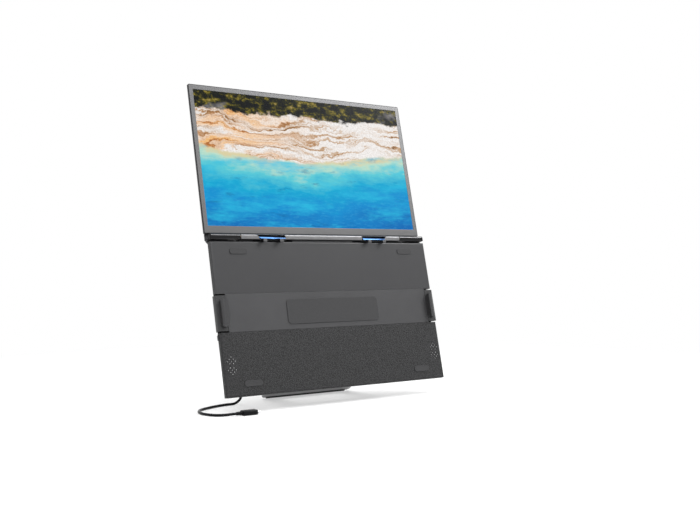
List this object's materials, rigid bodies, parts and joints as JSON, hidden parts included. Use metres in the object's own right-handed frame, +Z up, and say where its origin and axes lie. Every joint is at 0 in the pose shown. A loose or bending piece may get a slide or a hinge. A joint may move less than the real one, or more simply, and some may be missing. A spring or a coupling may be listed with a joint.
{
  "type": "laptop screen extender",
  "caption": "Second screen hinged on a flat body that clips to a laptop's lid with side clamps and top hooks, with a fold-out stand and a plug-in lead.",
  "frame": {"origin": "centre of the seat that the laptop's lid rests on, in the plane of the lid's back", "axes": "+X to the right as seen from the front, -Y towards the user, +Z up; at rest the lid, the body and the monitor lean back by 13.6 degrees"},
  "size_m": [0.3831, 0.134, 0.4375],
  "materials": {
    "housing": "dark grey moulded plastic, fine matt",
    "upper_panel": "dark grey metallic paint, smooth",
    "middle_panel": "dark grey moulded plastic",
    "grained_panel": "nearly black plastic with a leather grain",
    "rubber": "black rubber",
    "steel": "bare steel",
    "board": "green circuit board",
    "black_plastic": "black plastic",
    "mesh": "pale grey woven mesh",
    "clamp": "dark grey plastic, satin",
    "clamp_cap": "dark grey metal-look plastic, satin",
    "bar": "light grey satin aluminium",
    "knuckle": "dark grey, polished edges",
    "chrome": "bright metal",
    "bronze": "bronze",
    "frame": "mid grey satin",
    "display": "lit display behind glass, a landscape of hills and water",
    "back_cover": "grey satin aluminium",
    "stand": "grey satin aluminium",
    "cord": "glossy black cord sheath",
    "plug": "black plug body with a bright metal tip"
  },
  "bodies": {
    "body": {"rear_housing": "housing", "upper_front_panel": "upper_panel", "middle_front_panel": "middle_panel", "lower_front_panel": "grained_panel", "lid_seat_pad": "rubber", "lid_corner_pads": "rubber", "chassis_plate": "steel", "housing_screws": "steel", "main_board": "board", "port_shells": "steel", "button_switch": "steel", "left_speaker": "black_plastic", "right_speaker": "black_plastic", "left_speaker_mesh": "mesh", "right_speaker_mesh": "mesh", "guide_rods": "steel", "rod_brackets": "steel", "spring_anchor": "steel", "left_arm_spring": "steel", "right_arm_spring": "steel", "hinge_bar": "bar", "left_hinge_bracket": "steel", "right_hinge_bracket": "steel", "hinge_shafts": "steel", "hinge_washers": "bronze", "hook_pins": "steel", "hook_springs": "steel", "kickstand_pins": "steel", "cord": "cord", "body_plug": "plug", "laptop_plug": "plug"},
    "monitor": {"left_knuckle_cover": "knuckle", "right_knuckle_cover": "knuckle", "bar_end_caps": "chrome", "left_moving_leaf": "steel", "right_moving_leaf": "steel", "monitor_frame": "frame", "display_panel": "display", "backlight_unit": "black_plastic", "monitor_back_cover": "back_cover", "driver_board": "board"},
    "left_clamp": {"left_clamp_arm": "clamp", "left_finger_cap": "clamp_cap", "left_jaw_pad": "rubber"},
    "right_clamp": {"right_clamp_arm": "clamp", "right_finger_cap": "clamp_cap", "right_jaw_pad": "rubber"},
    "left_hook": {"left_hook": "black_plastic", "left_hook_claws": "chrome"},
    "right_hook": {"right_hook": "black_plastic", "right_hook_claws": "chrome"},
    "kickstand": {"kickstand": "stand", "kickstand_foot": "rubber"},
    "button": {"side_button": "black_plastic"}
  },
  "joints": [
    {"name": "monitor_tilt", "type": "hinge", "parent": "body", "child": "monitor", "pos_m": [0, 0.02669, 0.10054], "axis": [1, 0, 0], "range_deg": [-30, 180]},
    {"name": "left_clamp_slide", "type": "slide", "parent": "body", "child": "left_clamp", "axis": [-1, 0, 0], "range_m": [0, 0.024], "stiffness_N_per_m": 150, "springref_m": -0.01, "deforming": ["left_arm_spring"]},
    {"name": "right_clamp_slide", "type": "slide", "parent": "body", "child": "right_clamp", "axis": [1, 0, 0], "range_m": [0, 0.024], "stiffness_N_per_m": 150, "springref_m": -0.01, "deforming": ["right_arm_spring"]},
    {"name": "left_hook_turn", "type": "hinge", "parent": "body", "child": "left_hook", "pos_m": [0, 0.02626, 0.09921], "axis": [1, 0, 0], "range_deg": [-35, 0], "stiffness_Nm_per_rad": 0.03, "springref_deg": 28.65, "deforming": ["hook_springs"]},
    {"name": "right_hook_turn", "type": "hinge", "parent": "body", "child": "right_hook", "pos_m": [0, 0.02626, 0.09921], "axis": [1, 0, 0], "range_deg": [-35, 0], "stiffness_Nm_per_rad": 0.03, "springref_deg": 28.65},
    {"name": "kickstand_fold", "type": "hinge", "parent": "body", "child": "kickstand", "pos_m": [0, 0.00163, -0.06171], "axis": [1, 0, 0], "range_deg": [0, 116.4]},
    {"name": "side_button_press", "type": "slide", "parent": "body", "child": "button", "axis": [1, 0, 0], "range_m": [0, 0.0005], "stiffness_N_per_m": 600, "springref_m": -0.001}
  ]
}
